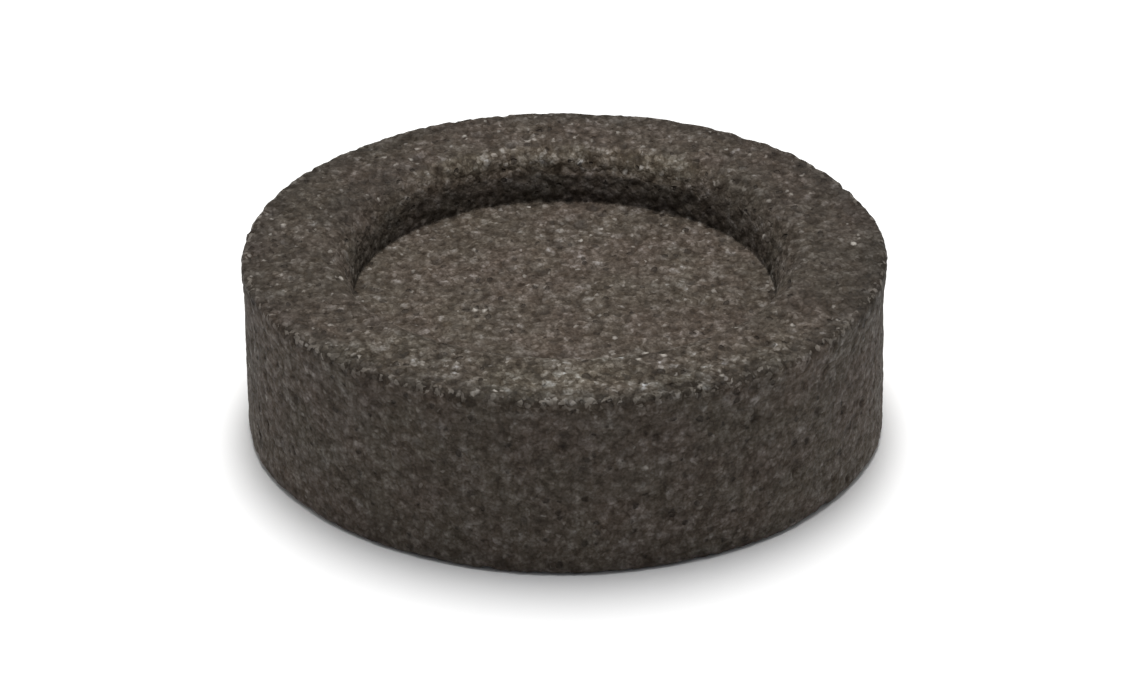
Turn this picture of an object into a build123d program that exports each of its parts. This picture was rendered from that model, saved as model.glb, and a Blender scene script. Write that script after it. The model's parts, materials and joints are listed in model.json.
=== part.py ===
from build123d import *
from math import radians, sin
import os

# Molcajete: a squat round mortar carved from one block of dark volcanic stone.
# Millimetres, +Z up. The origin is the centre of the flat base, so the stone stands on Z = 0.
# The outline is half a section through the stone, drawn in the XZ plane and turned about Z.

# Driving dimensions of the drum
outer_diameter = 200.0
height = 59.0
wall_flare = 0.6  # the base is this much wider, in radius, than the top
top_edge_radius = 2.0  # worn outer edge of the rim
base_edge_radius = 2.5  # worn lower edge, where the stone meets the table

# Driving dimensions of the grinding recess
floor_diameter = 132.5
recess_depth = 16.5
wall_curve_radius = 26.0  # the recess wall stands upright on the floor and curves outwards
wall_turn = 27.0  # degrees through which it has curved where the shoulder begins
floor_corner_radius = 0.4  # crisp corner between the recess wall and its floor

# Places on the section that follow from them
rim_outer = outer_diameter / 2
base_outer = rim_outer + wall_flare
floor_outer = floor_diameter / 2
floor_level = height - recess_depth
wall_rise = wall_curve_radius * sin(radians(wall_turn))
shoulder_turn = 90.0 - wall_turn
shoulder_radius = (recess_depth - wall_rise) / (1 - sin(radians(wall_turn)))  # ends level with the rim

# The stone
with BuildPart() as mortar_bowl:
    with BuildSketch(Plane.XZ) as section:
        with BuildLine() as outline:
            wall = JernArc((floor_outer, floor_level), (0, 1), wall_curve_radius, -wall_turn)
            shoulder = JernArc(wall @ 1, wall % 1, shoulder_radius, -shoulder_turn)
            Line(shoulder @ 1, (rim_outer, height))
            Line((rim_outer, height), (base_outer, 0))
            Line((base_outer, 0), (0, 0))
            Line((0, 0), (0, floor_level))
            Line((0, floor_level), (floor_outer, floor_level))
        make_face()
    revolve(axis=Axis.Z)

    circles = mortar_bowl.edges().filter_by(GeomType.CIRCLE)
    base_edge = circles.filter_by_position(Axis.Z, -0.1, 0.1)
    floor_edge = circles.filter_by_position(Axis.Z, floor_level - 0.1, floor_level + 0.1)
    rim_edges = circles.filter_by_position(Axis.Z, height - 0.1, height + 0.1).sort_by(SortBy.RADIUS)
    fillet(base_edge, radius=base_edge_radius)
    fillet(floor_edge, radius=floor_corner_radius)
    fillet(rim_edges[-1:], radius=top_edge_radius)

mortar_bowl.part.label = "mortar_bowl"

os.makedirs("parts", exist_ok=True)
export_step(mortar_bowl.part, "parts/mortar_bowl.step")
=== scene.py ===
"""Molcajete: a squat round mortar carved from one block of dark basalt, with a wide flat rim and a recess.

The stone is one closed mesh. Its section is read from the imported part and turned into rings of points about
a millimetre apart, which are then moved by what the mason and the lava left: an outline that wanders, a
slight lip, worn and chipped edges, grains and pores. What is finer than a millimetre is in the material.
Sizes of the stone are in millimetres. Blender's own units are metres, in the part's frame.
"""

import json
import math
from collections import namedtuple

import bpy
import numpy as np
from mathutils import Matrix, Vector, kdtree, noise


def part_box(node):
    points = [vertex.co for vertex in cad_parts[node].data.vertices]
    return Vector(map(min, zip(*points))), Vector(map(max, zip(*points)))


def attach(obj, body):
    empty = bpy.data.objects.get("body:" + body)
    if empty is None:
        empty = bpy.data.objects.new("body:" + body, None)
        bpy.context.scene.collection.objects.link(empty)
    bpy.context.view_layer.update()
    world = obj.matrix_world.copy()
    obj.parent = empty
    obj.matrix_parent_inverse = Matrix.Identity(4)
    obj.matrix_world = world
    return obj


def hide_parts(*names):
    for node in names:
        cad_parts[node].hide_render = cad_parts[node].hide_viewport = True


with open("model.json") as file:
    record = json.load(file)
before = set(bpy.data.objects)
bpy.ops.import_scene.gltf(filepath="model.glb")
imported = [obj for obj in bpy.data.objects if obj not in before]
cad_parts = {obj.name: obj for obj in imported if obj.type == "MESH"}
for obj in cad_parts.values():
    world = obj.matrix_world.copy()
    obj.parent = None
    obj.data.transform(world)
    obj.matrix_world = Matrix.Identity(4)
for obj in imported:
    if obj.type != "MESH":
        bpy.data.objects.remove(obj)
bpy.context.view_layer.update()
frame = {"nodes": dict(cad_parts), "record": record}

NODE = "mortar_bowl"
MM = 0.001

# Roundings of the section, as in the part, and how far the recess wall has curved where its shoulder begins
BASE_EDGE = 2.5
RIM_EDGE = 2.0
WALL_CURVE = 26.0
WALL_TURN = math.radians(27)
FLOOR_CORNER = 0.4

# How closely the points lie
POINT_GAP = 1.03  # between neighbours on a ring, all over the stone but under it
FOOT_GAP = 0.55  # the same at the foot of the recess wall, whose corner is crisp
BASE_GAP = 2.0  # the same on the flat base, inside its edge
BASE_MARGIN = 10.0  # how far the close points reach in under the stone
ROW_SHARE = 0.866  # gap between rings over the gap between points, for even-sided triangles

# What the mason left
SEED = 7
WANDER = 0.8  # how far the outline strays from a true circle
WANDER_LENGTH = 55.0
LIP = 0.7  # how far the rim stands out past the wall
LIP_DEPTH = 11.0
WAVES = 0.22  # slow unevenness of every face
WAVES_LENGTH = 9.0
LUMPS = 0.15  # height of the lumps of grains that stand out of the faces
HOLLOWS = 0.6  # depth of the hollows between them
LUMP_LENGTH = 3.2

# The shoulder of the recess is worn down at the back left
WORN_DEPTH = 1.0
WORN_TURN = 150.0  # degrees round from +X

# How much paler (above 0) or darker each part of the stone is made; several of these are painted light and
# shade, as said at each
RIM_TONE = -0.11
RIM_LEFT_TONE = -0.10
RIM_RIGHT_TONE = -0.18
RIM_TIP_TONE = 0.18
# painted shade: the rim's outer border darkened as a rounder edge would be, turning from the light
RIM_BORDER_SHADE = -0.27
# painted highlight: the overhead light's sheen along the back crest of the shoulder
CREST_HIGHLIGHT = 0.70
# painted shade on the worn-down shoulder at the back left, where its wider slope turns from the light
WORN_SHOULDER_SHADE = -0.20
# painted shade on the front part of the shoulder
FRONT_SHOULDER_SHADE = -0.14
# painted light: the recess floor paler towards its back and left, where the recess wall shades it
FLOOR_BACK_LIGHT = 0.05
FLOOR_LEFT_LIGHT = 0.06
# painted light: the side paler towards its left and right ends, and more at the foot, where the white room
# lights it
SIDE_ENDS_LIGHT = 0.05
SIDE_FOOT_LIGHT = 0.14

# How coarse the grain shows, over that of the side
TOP_GRIT = 0.35
FRONT_GRIT = 0.4
# at the back crest this also paints glints, as more and larger pale specks
CREST_GRIT_AND_GLINT = 0.6

# Pores: how many to a square decimetre, their smallest and largest radius, and depth over radius
PORES = (
    (420, 0.8, 1.3, 0.34),
    (60, 1.3, 2.2, 0.42),
    (7, 2.3, 3.6, 0.36),
)
CHIPS = 60  # chips along the rim's outer edge
CHIP_RADIUS = (1.2, 3.4)
CHIP_DEPTH = 0.20
CHIP_REACH = 1.5  # how far in from the edge they lie
NICKS = 70  # smaller and sharper ones along the front of it
NICK_RADIUS = (0.9, 2.0)
NICK_DEPTH = 0.55
NICK_REACH = 7.0


# ---------------------------------------------------------------- the section


def read_section():
    """Corners of the half section, (radius, height, rounding), from the base's middle to the floor's."""
    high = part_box(NODE)[1]
    points = np.array([v.co for v in frame["nodes"][NODE].data.vertices]) / MM
    radius = np.hypot(points[:, 0], points[:, 1])
    height = high.z / MM
    mounts = {m["name"]: m for m in frame["record"]["mounts"]}
    floor_level = mounts["recess_floor"]["pos_m"][2] / MM
    rim_outer = radius[points[:, 2] > height - 0.01].max() + RIM_EDGE
    foot = radius[abs(points[:, 2] - floor_level - FLOOR_CORNER) < 0.05].min()
    bend = floor_level + WALL_CURVE * math.tan(WALL_TURN / 2)
    mouth = foot + (height - bend) * math.tan(WALL_TURN)
    shoulder = (height - floor_level - WALL_CURVE * math.sin(WALL_TURN)) / (1 - math.sin(WALL_TURN))
    return (
        (0.0, 0.0, 0.0),
        (high.x / MM, 0.0, BASE_EDGE),
        (rim_outer, height, RIM_EDGE),
        (mouth, height, shoulder),
        (foot, bend, WALL_CURVE),
        (foot, floor_level, 0.0),
        (0.0, floor_level, 0.0),
    )


def rounded(corners, step=0.1):
    """The corners' outline as close points, with an arc at each corner that has a rounding."""
    points = [np.array(corners[0][:2])]
    for before, corner, after in zip(corners, corners[1:], corners[2:]):
        here = np.array(corner[:2])
        if not corner[2]:
            points.append(here)
            continue
        back = np.array(before[:2]) - here
        ahead = np.array(after[:2]) - here
        back /= np.linalg.norm(back)
        ahead /= np.linalg.norm(ahead)
        half = math.acos(np.clip(back @ ahead, -1, 1)) / 2
        centre = here + (back + ahead) / np.linalg.norm(back + ahead) * corner[2] / math.sin(half)
        start = here + back * corner[2] / math.tan(half) - centre
        end = here + ahead * corner[2] / math.tan(half) - centre
        sweep = math.pi - 2 * half
        for share in np.linspace(0, 1, max(3, round(sweep * corner[2] / step))):
            turned = start * math.sin((1 - share) * sweep) + end * math.sin(share * sweep)
            points.append(centre + turned / math.sin(sweep))
    points.append(np.array(corners[-1][:2]))
    return np.array(points)


def rings(outline):
    """Places along the outline for the rings of points: rows of (length along it, radius, height, gap)."""
    steps = np.linalg.norm(np.diff(outline, axis=0), axis=1)
    length = np.concatenate([[0], np.cumsum(steps)])
    margin = outline[:, 0].max() - BASE_MARGIN
    foot = length[-2]
    marks = [0, margin - 4, margin, foot - 4, foot - 2, foot + 1.5, foot + 3.5]
    gaps = [BASE_GAP, BASE_GAP, POINT_GAP, POINT_GAP, FOOT_GAP, FOOT_GAP, POINT_GAP]
    places = [0.0]
    while places[-1] < length[-1]:
        places.append(places[-1] + ROW_SHARE * np.interp(places[-1], marks, gaps))
    places = np.array(places) * length[-1] / places[-1]
    places[abs(places - foot).argmin()] = foot
    radius = np.interp(places, length, outline[:, 0])
    height = np.interp(places, length, outline[:, 1])
    return np.column_stack([places, radius, height, np.interp(places, marks, gaps)])


# ---------------------------------------------------------------- the mesh


def stitch(start_a, count_a, turn_a, start_b, count_b, turn_b):
    """Triangles between two rings, each given by its first point's number, its count of points and turn."""
    if count_a == 1:
        return [(start_a, start_b + (k + 1) % count_b, start_b + k) for k in range(count_b)]
    if count_b == 1:
        return [(start_b, start_a + k, start_a + (k + 1) % count_a) for k in range(count_a)]
    next_a = (np.arange(1, count_a + 1) + turn_a) / count_a
    next_b = (np.arange(1, count_b + 1) + turn_b) / count_b
    from_b = np.concatenate([np.zeros(count_a, bool), np.ones(count_b, bool)])
    order = np.argsort(np.concatenate([next_a, next_b]), kind="stable")
    from_b = from_b[order]
    at_b = np.cumsum(from_b) - from_b
    at_a = np.arange(len(order)) - at_b
    first = start_a + at_a % count_a
    second = start_b + at_b % count_b
    third = np.where(from_b, start_b + (at_b + 1) % count_b, start_a + (at_a + 1) % count_a)
    return list(zip(first.tolist(), third.tolist(), second.tolist()))


def plain_stone(rows):
    """The stone before any wear: points, outward directions, lengths along the section, and triangles."""
    slope = np.gradient(rows[:, 1:3], axis=0)
    slope /= np.linalg.norm(slope, axis=1)[:, None]
    points, outward, along, triangles, parts = [], [], [], [], []
    for number, (place, radius, height, gap) in enumerate(rows):
        count = max(1, round(2 * math.pi * radius / gap)) if 0 < number < len(rows) - 1 else 1
        turn = (number % 2) / 2 if count > 1 else 0
        angle = 2 * math.pi * (np.arange(count) + turn) / count
        out, up = slope[number][1], -slope[number][0]
        if count == 1:
            out = 0.0
        start = sum(p[1] for p in parts)
        parts.append((start, count, turn))
        ray = np.column_stack([np.cos(angle), np.sin(angle)])
        points.append(np.column_stack([ray * radius, np.full(count, height)]))
        outward.append(np.column_stack([ray * out, np.full(count, up)]))
        along.append(np.full(count, place))
        if number:
            triangles += stitch(*parts[-2], *parts[-1])
    return np.concatenate(points), np.concatenate(outward), np.concatenate(along), triangles


def smooth_step(value, start, end):
    """0 before start, 1 after end, and an even S between."""
    share = np.clip((value - start) / (end - start), 0, 1)
    return share * share * (3 - 2 * share)


def field(points, length, octaves=3, shift=0.0):
    """Even noise at each point, about -1 to 1, with features of that length."""
    offset = Vector((shift, shift * 2, shift * 3))
    return np.array([
        noise.fractal(Vector(p) / length + offset, 0.9, 2.1, octaves, noise_basis="PERLIN_NEW")
        for p in points
    ])


def wander(points, amount, length):
    """Slow drift of the whole surface, as a vector at each point, that leaves the base flat."""
    noise.seed_set(SEED)  # noise_vector would otherwise take a new seed from the clock on each run
    drift = np.array([noise.noise_vector(Vector(p) / length, noise_basis="PERLIN_NEW") for p in points])
    drift[:, 2] *= 0.5 * smooth_step(points[:, 2], 2, 20)
    return drift * amount


def dig(tree, depths, centre, radius, depth, rng):
    """Sinks one pore: a round or slightly long bowl in the depths."""
    reach = radius * 1.35
    long_way = Vector(rng.normal(size=3)).normalized()
    for place, number, distance in tree.find_range(centre, reach):
        offset = place - centre
        stretch = offset.dot(long_way) / reach
        share = distance / radius * (1 - 0.25 * stretch * stretch)
        if share < 1:
            depths[number] = max(depths[number], depth * (1 - share * share) ** 1.3)


def carve(points, top):
    """How deep each point lies in a pore or chip."""
    rng = np.random.default_rng(SEED)
    tree = kdtree.KDTree(len(points))
    for number, place in enumerate(points):
        tree.insert(place, number)
    tree.balance()
    depths = np.zeros(len(points))
    close = points[:, 2] > 0.5
    upper = np.flatnonzero(close)
    under = np.flatnonzero(~close)
    square_dm = 10000.0
    upper_area = len(upper) * POINT_GAP**2 * ROW_SHARE / square_dm
    under_area = len(under) * BASE_GAP**2 * ROW_SHARE / square_dm
    for density, smallest, largest, steepness in PORES:
        for choice, area in ((upper, upper_area), (under, under_area)):
            for number in rng.choice(choice, round(density * area)):
                radius = smallest + (largest - smallest) * rng.random() ** 2
                centre = Vector(points[number] + rng.normal(size=3) * 0.3)
                dig(tree, depths, centre, radius, radius * steepness * rng.uniform(0.5, 1.2), rng)
    rim_radius = points[:, :2].max()
    round_the_rim = rng.uniform(0, 2 * math.pi, CHIPS)
    at_the_front = rng.normal(-math.pi / 2, 0.45, NICKS)
    blows = [(angle, CHIP_RADIUS, CHIP_DEPTH, CHIP_REACH) for angle in round_the_rim]
    blows += [(angle, NICK_RADIUS, NICK_DEPTH, NICK_REACH) for angle in at_the_front]
    for angle, radii, steepness, inwards in blows:
        edge = rim_radius - rng.uniform(-0.5, inwards)
        centre = Vector((math.cos(angle) * edge, math.sin(angle) * edge, top - rng.uniform(-0.4, 1.2)))
        radius = rng.uniform(*radii)
        dig(tree, depths, centre, radius, radius * steepness, rng)
    return depths


def make_mesh(name, points, triangles):
    mesh = bpy.data.meshes.new(name)
    mesh.from_pydata((points * MM).tolist(), [], triangles)
    mesh.validate()
    mesh.shade_smooth()
    return mesh


def store(mesh, name, values):
    layer = mesh.attributes.new(name, "FLOAT", "POINT")
    layer.data.foreach_set("value", values.astype(np.float32))


def back_crest_highlight(points, radius, top):
    """1 along the crest of the recess's shoulder at the back, where a highlight and glints are painted, and 0
    away from it.
    """
    on_crest = smooth_step(abs(radius - 71), 5.0, 1.5)
    return on_crest * smooth_step(points[:, 1], 45, 66) * (points[:, 2] > top - 8)


def tones(points, radius, top):
    """How pale the stone is made at each point: 1, changed by the tones of the rim, with painted shade at its
    border, a painted highlight on the back crest, painted shade on the shoulder, and painted light on the
    recess floor, the ends of the side and the foot of the drum. Places are in millimetres from the base's
    middle."""
    across, depth, height = points.T
    near_top = height > top - 8

    away = smooth_step(depth, -75, -25)
    on_rim = smooth_step(height, top - 7, top - 2) * smooth_step(radius, 66, 73)
    left = smooth_step(-across, 35, 75)
    right = smooth_step(across, 35, 75)
    shade = 1 + on_rim * away * (RIM_TONE + RIM_LEFT_TONE * left + RIM_RIGHT_TONE * right)

    turn = np.degrees(np.arctan2(depth, across))
    # painted shade on the worn-down shoulder at the back left
    worn = smooth_step(abs(turn - WORN_TURN), 26, 12) * smooth_step(abs(radius - 77), 7, 4)
    # painted shade on the front part of the shoulder
    near = smooth_step(abs(radius - 72), 6, 3) * smooth_step(depth, -40, -60)
    # painted highlight along the back crest
    shade += CREST_HIGHLIGHT * back_crest_highlight(points, radius, top)
    shade += near_top * (WORN_SHOULDER_SHADE * worn + FRONT_SHOULDER_SHADE * near)

    # painted light on the recess floor towards its back and left
    floor_back = smooth_step(depth, -10, 30)
    floor_left = smooth_step(-across, 15, 45)
    shade += (radius < 66) * (FLOOR_BACK_LIGHT * floor_back + FLOOR_LEFT_LIGHT * floor_left)

    tip = smooth_step(np.hypot(across, depth + 84), 28, 8) * smooth_step(height, top - 4, top - 1)
    # painted light on the side's ends, more towards the foot
    ends = smooth_step(abs(across), 50, 85) * smooth_step(height, top - 1, top - 6) * (radius > 90)
    foot = smooth_step(height, 20, 4)
    shade += RIM_TIP_TONE * tip + ends * (SIDE_ENDS_LIGHT + SIDE_FOOT_LIGHT * foot)

    # painted shade along the rim's outer border
    border = smooth_step(radius, 89.5, 96) * smooth_step(height, top - 2.5, top - 0.5)
    return shade * (1 + RIM_BORDER_SHADE * border)


def grits(points, outward, radius, top):
    """How coarse the grain shows at each point: least on the side, most on the rim's front and back crest,
    where it also paints glints.
    """
    up = smooth_step(outward[:, 2], 0.2, 0.8) * (points[:, 2] > 10)
    front = smooth_step(points[:, 1], -45, -75) * smooth_step(points[:, 2], top - 6, top - 2)
    return TOP_GRIT * up + FRONT_GRIT * front + CREST_GRIT_AND_GLINT * back_crest_highlight(points, radius, top)


def unwrap(mesh, rows, points, along, base_edge, rim_edge):
    """A UV map: the top and the base as discs, and the side as two strips, all in one square."""
    gutter = 2.0  # millimetres left empty round each island
    angle = np.arctan2(points[:, 1], points[:, 0])
    corner = np.empty(len(mesh.loops), int)
    mesh.loops.foreach_get("vertex_index", corner)
    corner = corner.reshape(-1, 3)
    middle = points[corner].mean(axis=1)
    facing = np.arctan2(middle[:, 1], middle[:, 0])[:, None]
    turned = facing + (angle[corner] - facing + math.pi) % (2 * math.pi) - math.pi

    length = along[corner]
    low = rows[abs(rows[:, 0] - base_edge).argmin(), 0]
    high = rows[abs(rows[:, 0] - rim_edge).argmin(), 0]
    on_base = (length.max(axis=1) <= low + 1e-6)[:, None]
    on_top = (length.min(axis=1) >= high - 1e-6)[:, None]
    reach = rows[-1, 0] - high
    side = high - low
    size = 2 * reach + 2 * side + 6 * gutter

    from_middle = rows[-1, 0] - length
    u_top = reach + gutter + from_middle * np.cos(turned)
    v_top = reach + gutter + from_middle * np.sin(turned)
    small = (size - 2 * reach - 4 * gutter) / 2 / low
    u_base = size - gutter - small * (low + length * np.cos(turned))
    v_base = gutter + small * (low + length * np.sin(turned))
    second = facing >= 0
    u_side = gutter + (size - 3 * gutter) * (turned / math.pi + np.where(second, 0, 1))
    v_side = 2 * reach + 3 * gutter + length - low + np.where(second, side + 1.5 * gutter, 0)

    u = np.where(on_top, u_top, np.where(on_base, u_base, u_side)) / size
    v = np.where(on_top, v_top, np.where(on_base, v_base, v_side)) / size
    layer = mesh.uv_layers.new(name="OFBake")
    layer.data.foreach_set("uv", np.stack([u, v], axis=2).astype(np.float32).ravel())


def make_stone():
    """The stone as one object, with what its material needs stored at each point."""
    corners = read_section()
    rows = rings(rounded(corners))
    points, outward, along, triangles = plain_stone(rows)
    top = corners[2][1]
    depths = carve(points, top)
    lumps = field(points, LUMP_LENGTH, 2, 40.0)
    lift = WAVES * field(points, WAVES_LENGTH) + np.where(lumps > 0, LUMPS, HOLLOWS) * lumps
    inset = np.where(outward[:, 2] < -0.9, np.minimum(lift, 0), lift)
    moved = points + outward * (inset - depths)[:, None]
    radius = np.hypot(points[:, 0], points[:, 1])
    at_lip = smooth_step(points[:, 2], top - LIP_DEPTH, top - 3) * smooth_step(radius, 85, 98)
    ray = points[:, :2] / np.maximum(radius, 1e-6)[:, None]
    moved[:, :2] += ray * (LIP * at_lip)[:, None]
    moved += wander(points, WANDER, WANDER_LENGTH)
    turn = np.degrees(np.arctan2(points[:, 1], points[:, 0]))
    worn = smooth_step(abs(turn - WORN_TURN), 35, 12)
    worn *= smooth_step(radius, 85, 75)
    worn *= smooth_step(radius, 66, 70)
    worn *= smooth_step(points[:, 2], top - 8, top - 2)
    moved[:, 2] -= WORN_DEPTH * worn
    moved[:, 2] = np.maximum(moved[:, 2], 0)
    mesh = make_mesh("stone", moved, triangles)
    store(mesh, "pore", np.clip(depths / 0.6, 0, 1))
    edge = smooth_step(abs(radius - corners[2][0]) + abs(points[:, 2] - top), 4.0, 0.5)
    store(mesh, "wear", edge)
    store(mesh, "tone", tones(points, radius, top))
    store(mesh, "lump", lumps)
    store(mesh, "grit", grits(points, outward, radius, top))
    unwrap(mesh, rows, points, along, corners[1][0], corners[1][0] + top)
    stone = bpy.data.objects.new("stone", mesh)
    bpy.context.scene.collection.objects.link(stone)
    return stone


# ---------------------------------------------------------------- the material


Cells = namedtuple("Cells", "distance picks")


def node(tree, kind, inputs=None, **settings):
    """A new node, with its settings, and its inputs set to numbers or wired to other nodes' outputs."""
    made = tree.nodes.new(kind)
    for name, value in settings.items():
        setattr(made, name, value)
    for name, value in (inputs or {}).items():
        if isinstance(value, bpy.types.NodeSocket):
            tree.links.new(value, made.inputs[name])
        else:
            made.inputs[name].default_value = value
    return made


def calc(tree, operation, *values):
    """A Math node's result."""
    return node(tree, "ShaderNodeMath", dict(enumerate(values)), operation=operation).outputs[0]


def span(tree, value, low, high, to_low=0.0, to_high=1.0):
    """value carried from low..high to to_low..to_high, held at the ends."""
    ends = {"Value": value, "From Min": low, "From Max": high, "To Min": to_low, "To Max": to_high}
    return node(tree, "ShaderNodeMapRange", ends, clamp=True).outputs[0]


def ramp(tree, value, stops):
    """A Color Ramp through (place, colour) stops."""
    made = node(tree, "ShaderNodeValToRGB", {"Fac": value})
    elements = made.color_ramp.elements
    while len(elements) < len(stops):
        elements.new(0.5)
    for element, (place, colour) in zip(elements, stops):
        element.position = place
        element.color = (*colour, 1)
    return made.outputs["Color"]


def blend(tree, share, a, b, kind="MIX"):
    """Colours a and b mixed."""
    made = node(tree, "ShaderNodeMix", data_type="RGBA", blend_type=kind)
    colours = [s for s in made.inputs if s.type == "RGBA"]
    for socket, value in zip([made.inputs[0], *colours], (share, a, b)):
        if isinstance(value, bpy.types.NodeSocket):
            tree.links.new(value, socket)
        else:
            socket.default_value = value if isinstance(value, float) else (*value, 1)
    return next(s for s in made.outputs if s.type == "RGBA")


def times(tree, colour, factor, share=1.0):
    """The colour multiplied by a factor, as far as share says."""
    return blend(tree, share, colour, factor, "MULTIPLY")


def stored(tree, name, output="Fac"):
    """What make_stone stored at each point under that name."""
    return node(tree, "ShaderNodeAttribute", attribute_name=name).outputs[output]


def cloud(tree, place, scale, detail, **more):
    """Noise from 0 to 1."""
    inputs = {"Vector": place, "Scale": scale, "Detail": detail, **more}
    return node(tree, "ShaderNodeTexNoise", inputs).outputs["Fac"]


def cells(tree, place, scale):
    """Grains: how far a point is from the middle of its grain, and three random numbers for each grain."""
    made = node(tree, "ShaderNodeTexVoronoi", {"Vector": place, "Scale": scale})
    picks = node(tree, "ShaderNodeSeparateColor", {"Color": made.outputs["Color"]}).outputs
    return Cells(made.outputs["Distance"], picks)


def stone_places(tree):
    """Places in the stone in millimetres, the grain a little longer along Y, and the same bent by noise."""
    place = node(tree, "ShaderNodeTexCoord").outputs["Object"]
    drawn_out = (1 / MM, 0.75 / MM, 1 / MM)
    place = node(tree, "ShaderNodeVectorMath", {0: place, 1: drawn_out}, operation="MULTIPLY").outputs[0]
    stray = node(tree, "ShaderNodeTexNoise", {"Vector": place, "Scale": 0.45, "Detail": 3.0}).outputs["Color"]
    stray = node(tree, "ShaderNodeVectorMath", {0: stray, 3: 2.4}, operation="SCALE").outputs[0]
    bent = node(tree, "ShaderNodeVectorMath", {0: place, 1: stray}, operation="ADD").outputs[0]
    return place, bent


def grain_colour(tree, place, grains, fines, dust, grit):
    """Brown-grey stone: clumps, lumps, grains, fines and dust, with painted light and shade: paler on the
    lumps and grain middles, darker in the hollows and crevices between them.
    """
    colour = ramp(tree, cloud(tree, place, 0.36, 2.0, Roughness=0.55), (
        (0.30, (0.0615, 0.0480, 0.0350)),
        (0.50, (0.0820, 0.0673, 0.0526)),
        (0.70, (0.1100, 0.0946, 0.0776)),
    ))
    # painted light and shade on the relief: paler on the lumps, darker in the hollows between them
    lump_shading = ramp(tree, span(tree, stored(tree, "lump"), -0.7, 0.7), (
        (0.0, (0.73, 0.70, 0.66)),
        (0.5, (0.99, 0.99, 0.99)),
        (1.0, (1.21, 1.23, 1.26)),
    ))
    tint = ramp(tree, grains.picks[0], (
        (0.0, (0.86, 0.84, 0.81)),
        (0.6, (0.98, 0.97, 0.96)),
        (0.9, (1.13, 1.15, 1.18)),
        (1.0, (1.28, 1.32, 1.38)),
    ))
    fine_tint = ramp(tree, fines.picks[0], (
        (0.0, (0.76, 0.74, 0.71)),
        (0.7, (1.0, 1.0, 1.0)),
        (1.0, (1.34, 1.38, 1.44)),
    ))
    # painted light and shade on the fine grains' domes: paler in their middles, darker in the crevices
    # between them
    fine_crevice_shade = ramp(tree, fines.distance, (
        (0.1, (1.08, 1.09, 1.10)),
        (0.45, (1.0, 1.0, 1.0)),
        (0.75, (0.76, 0.74, 0.71)),
    ))
    crumbly = ramp(tree, dust, (
        (0.35, (0.80, 0.785, 0.765)),
        (0.5, (1.0, 1.0, 1.0)),
        (0.65, (1.23, 1.24, 1.26)),
    ))
    # painted light and shade on the grains' domes: paler in their middles, darker in the crevices between
    # them
    crevice_shade = ramp(tree, grains.distance, (
        (0.1, (1.07, 1.08, 1.09)),
        (0.45, (1.0, 1.0, 1.0)),
        (0.75, (0.74, 0.72, 0.69)),
    ))
    colour = times(tree, colour, lump_shading)
    colour = times(tree, colour, tint)
    colour = times(tree, colour, fine_tint, span(tree, grit, 0.0, 0.4, 0.75, 1.0))
    for factor in (fine_crevice_shade, crumbly, crevice_shade):
        colour = times(tree, colour, factor)
    # more contrast where it is gritty, the painted light and shade of lumps and crevices included
    coarse = tint
    for factor in (lump_shading, crevice_shade, fine_tint):
        coarse = times(tree, coarse, factor)
    return times(tree, colour, coarse, grit)


def cast(tree, place, colour, grit):
    """The colour with slow changes over the stone, and a painted cool light that makes it greyer and bluer on
    the side and at the front of the rim.
    """
    slow = ramp(tree, cloud(tree, place, 0.05, 3.0), (
        (0.3, (0.93, 0.92, 0.91)),
        (0.5, (1.0, 1.0, 1.0)),
        (0.7, (1.07, 1.06, 1.04)),
    ))
    hue = ramp(tree, cloud(tree, place, 0.06, 1.0), (
        (0.35, (1.025, 0.99, 0.985)),
        (0.5, (1.0, 1.0, 0.99)),
        (0.65, (0.985, 1.005, 0.98)),
    ))
    # painted cool light: bluer on the side and at the rim's front, as the cool near side of the room lights
    # them
    cool_light_tint = ramp(tree, grit, (
        (0.0, (1.01, 1.03, 1.10)),
        (0.3, (1.0, 1.0, 1.045)),
        (0.4, (1.0, 1.0, 1.045)),
        (0.75, (1.0, 1.035, 1.08)),
    ))
    for factor in (slow, hue, cool_light_tint, stored(tree, "tone", "Color")):
        colour = times(tree, colour, factor)
    return colour


def specks(tree, bent, fines, grit):
    """1 on the pale feldspar and glassy specks: many small ones and a few large, more where it is gritty."""
    chips = cells(tree, bent, 0.42)
    small = span(tree, fines.picks[1], 0.98, 0.99)
    small = calc(tree, "MULTIPLY", small, span(tree, fines.distance, 0.8, 0.2))
    small = calc(tree, "MULTIPLY", small, span(tree, grit, 0.0, 0.4, 0.25, 0.5))
    # where the grit is raised at the back crest, the extra large specks are painted glints
    chance = calc(tree, "ADD", chips.picks[1], calc(tree, "MULTIPLY", grit, 0.02))
    large = calc(tree, "MULTIPLY", span(tree, chance, 0.992, 1.0), span(tree, chips.distance, 0.5, 0.15))
    return calc(tree, "MAXIMUM", small, large)


def small_holes(tree, bent, grit):
    """1 in the holes that are too small for the mesh, which are a little larger where it is gritty."""
    holes = cells(tree, bent, 0.27)
    size = span(tree, holes.picks[0], 0.3, 1.0, 0.0, 0.34)
    size = calc(tree, "ADD", size, span(tree, grit, 0.5, 1.0, 0.0, 0.06))
    return span(tree, calc(tree, "SUBTRACT", size, holes.distance), 0.0, 0.12)


def relief(tree, grains, fines, dust, hole):
    """The bump of grains, fines, dust and holes."""
    domes = span(tree, grains.distance, 0.0, 0.8, 1.0, 0.0)
    crumbs = span(tree, fines.distance, 0.0, 0.8, 1.0, 0.0)
    height = calc(tree, "ADD", calc(tree, "MULTIPLY", domes, 0.8), calc(tree, "MULTIPLY", crumbs, 0.2))
    height = calc(tree, "ADD", height, calc(tree, "MULTIPLY", dust, 0.3))
    height = calc(tree, "SUBTRACT", height, calc(tree, "MULTIPLY", hole, 0.9))
    bump = node(tree, "ShaderNodeBump", {"Height": height, "Strength": 1.0, "Distance": 0.6 * MM})
    return bump.outputs[0]


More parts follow.
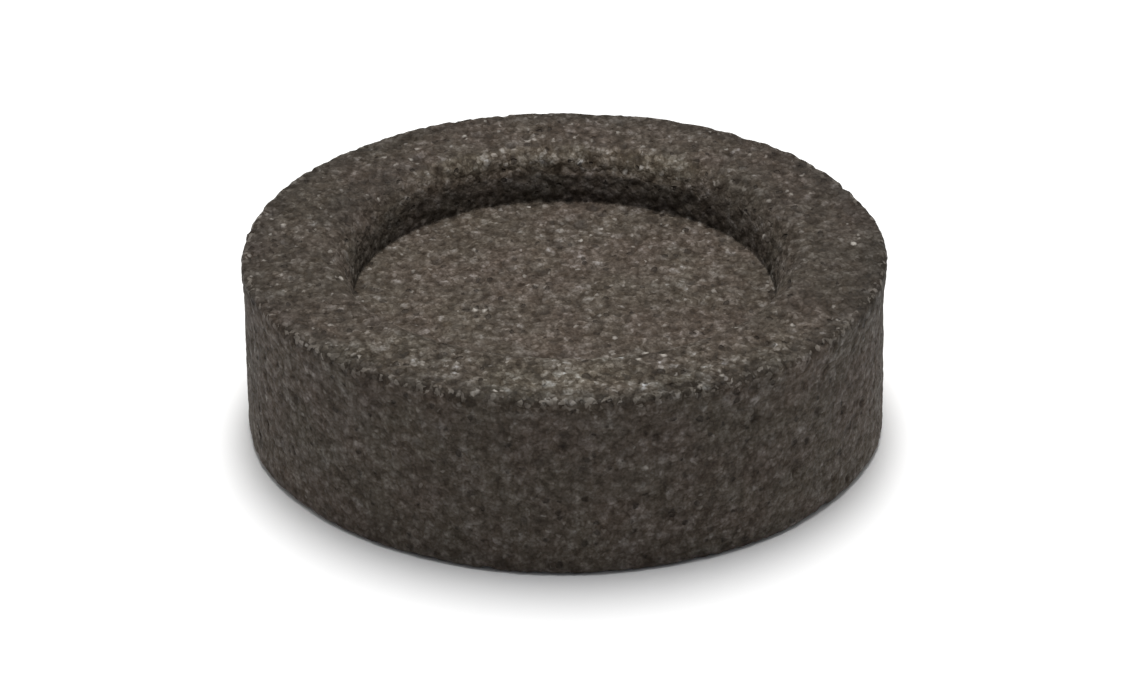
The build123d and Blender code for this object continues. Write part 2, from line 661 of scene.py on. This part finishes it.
def basalt():
    """Dark basalt: lumps of brown-grey grains, with pale feldspar, glassy specks and open pores, and painted
    light and shade on its relief and in its pores.
    """
    material = bpy.data.materials.new("basalt")
    material.use_nodes = True
    tree = material.node_tree
    shader = tree.nodes["Principled BSDF"]
    place, bent = stone_places(tree)
    grains = cells(tree, bent, 0.33)
    fines = cells(tree, bent, 0.78)
    dust = cloud(tree, place, 1.2, 2.0)
    grit = stored(tree, "grit")

    colour = grain_colour(tree, place, grains, fines, dust, grit)
    colour = cast(tree, place, colour, grit)
    speck = specks(tree, bent, fines, grit)
    colour = blend(tree, speck, colour, (0.33, 0.305, 0.275))
    hole = small_holes(tree, bent, grit)
    pore = calc(tree, "MULTIPLY", stored(tree, "pore"), 0.45)
    # painted shade in the holes too small for the mesh; in the pores partly painted shade, partly dust
    dark = calc(tree, "MAXIMUM", calc(tree, "MULTIPLY", hole, 0.6), pore)
    colour = blend(tree, dark, colour, (0.014, 0.010, 0.007))
    worn = calc(tree, "MULTIPLY", stored(tree, "wear"), span(tree, fines.picks[0], 0.6, 1.0, 0.0, 0.4))
    colour = blend(tree, worn, colour, (0.26, 0.235, 0.205))
    tree.links.new(colour, shader.inputs["Base Color"])

    rough = span(tree, fines.picks[2], 0.0, 1.0, 0.95, 0.66)
    rough = calc(tree, "SUBTRACT", rough, calc(tree, "MULTIPLY", speck, 0.3))
    tree.links.new(rough, shader.inputs["Roughness"])
    shader.inputs["Specular IOR Level"].default_value = 0.18
    tree.links.new(relief(tree, grains, fines, dust, hole), shader.inputs["Normal"])
    return material


# ---------------------------------------------------------------- the studio


def make_floor():
    """A white sheet that reaches past every view. Far from the stone it looks as white as the room."""
    reach = 6.0
    starts_to_fade = 0.4
    faded = 1.0
    mesh = bpy.data.meshes.new("floor")
    corners = [(-reach, -reach, 0), (reach, -reach, 0), (reach, reach, 0), (-reach, reach, 0)]
    mesh.from_pydata(corners, [], [(0, 1, 2, 3)])
    floor = bpy.data.objects.new("floor", mesh)
    bpy.context.scene.collection.objects.link(floor)
    white = bpy.data.materials.new("white_sheet")
    white.use_nodes = True
    shader = white.node_tree.nodes["Principled BSDF"]
    shader.inputs["Base Color"].default_value = (0.9, 0.9, 0.9, 1)
    shader.inputs["Roughness"].default_value = 1.0
    shader.inputs["Specular IOR Level"].default_value = 0.0

    tree = white.node_tree
    place = node(tree, "ShaderNodeTexCoord").outputs["Object"]
    away = node(tree, "ShaderNodeVectorMath", {0: place}, operation="LENGTH").outputs["Value"]
    seen = node(tree, "ShaderNodeLightPath").outputs["Is Camera Ray"]
    share = calc(tree, "MULTIPLY", span(tree, away, starts_to_fade, faded), seen)
    backdrop = node(tree, "ShaderNodeEmission", {"Color": (1, 1, 1, 1), "Strength": 1.0}).outputs[0]
    mixed = node(tree, "ShaderNodeMixShader", {0: share, 1: shader.outputs[0], 2: backdrop}).outputs[0]
    tree.links.new(mixed, tree.nodes["Material Output"].inputs["Surface"])
    mesh.materials.append(white)


def make_light():
    """A long soft box overhead, a little behind, in a white room that is dim and cool on the near side."""
    distance = 2.5
    tilt = math.radians(9)
    box = bpy.data.lights.new("soft_box", "AREA")
    box.shape = "ELLIPSE"
    box.size = 0.85
    box.size_y = 2.0
    box.energy = 67.0
    lamp = bpy.data.objects.new("soft_box", box)
    lamp.location = (0, distance * math.sin(tilt), distance * math.cos(tilt))
    lamp.rotation_euler = (-tilt, 0, 0)
    bpy.context.scene.collection.objects.link(lamp)

    world = bpy.data.worlds.new("room")
    world.use_nodes = True
    bpy.context.scene.world = world
    tree = world.node_tree
    direction = node(tree, "ShaderNodeTexCoord").outputs["Generated"]
    back = node(tree, "ShaderNodeSeparateXYZ", {"Vector": direction}).outputs["Y"]
    glow = span(tree, back, -0.9, 0.1, 0.11, 0.52)
    seen = node(tree, "ShaderNodeLightPath").outputs["Is Camera Ray"]
    glow = node(tree, "ShaderNodeMix", {"Factor": seen, "A": glow, "B": 1.0}).outputs[0]
    tree.links.new(glow, tree.nodes["Background"].inputs["Strength"])
    tint = ramp(tree, span(tree, back, -0.9, 0.9), (
        (0.0, (0.97, 1.0, 1.08)),
        (0.5, (1.0, 1.0, 1.0)),
        (1.0, (1.04, 1.0, 0.92)),
    ))
    tint = blend(tree, seen, tint, (1, 1, 1))
    tree.links.new(tint, tree.nodes["Background"].inputs["Color"])


def make_camera():
    """Looks down on the stone from the front, from about twelve radii away."""
    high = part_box(NODE)[1]
    radius = 100 * MM
    elevation = math.radians(28.03)
    distance = 12.25 * radius
    aim_right = 1.6 * MM
    aim_down = 4.85 * MM
    back = Vector((0, -math.cos(elevation), math.sin(elevation)))
    up = Vector((0, math.sin(elevation), math.cos(elevation)))
    aim = Vector((0, 0, high.z / 2)) + Vector((aim_right, 0, 0)) - up * aim_down
    data = bpy.data.cameras.new("camera")
    data.sensor_width = 36.0
    data.lens = 122.7
    camera = bpy.data.objects.new("camera", data)
    camera.location = aim + back * distance
    camera.rotation_mode = "QUATERNION"
    camera.rotation_quaternion = (-back).to_track_quat("-Z", "Y")
    bpy.context.scene.collection.objects.link(camera)
    bpy.context.scene.camera = camera


stone = make_stone()
stone.data.materials.append(basalt())
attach(stone, "root")
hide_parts(NODE)

make_floor()
make_light()
make_camera()
bpy.context.scene.view_settings.view_transform = "Standard"
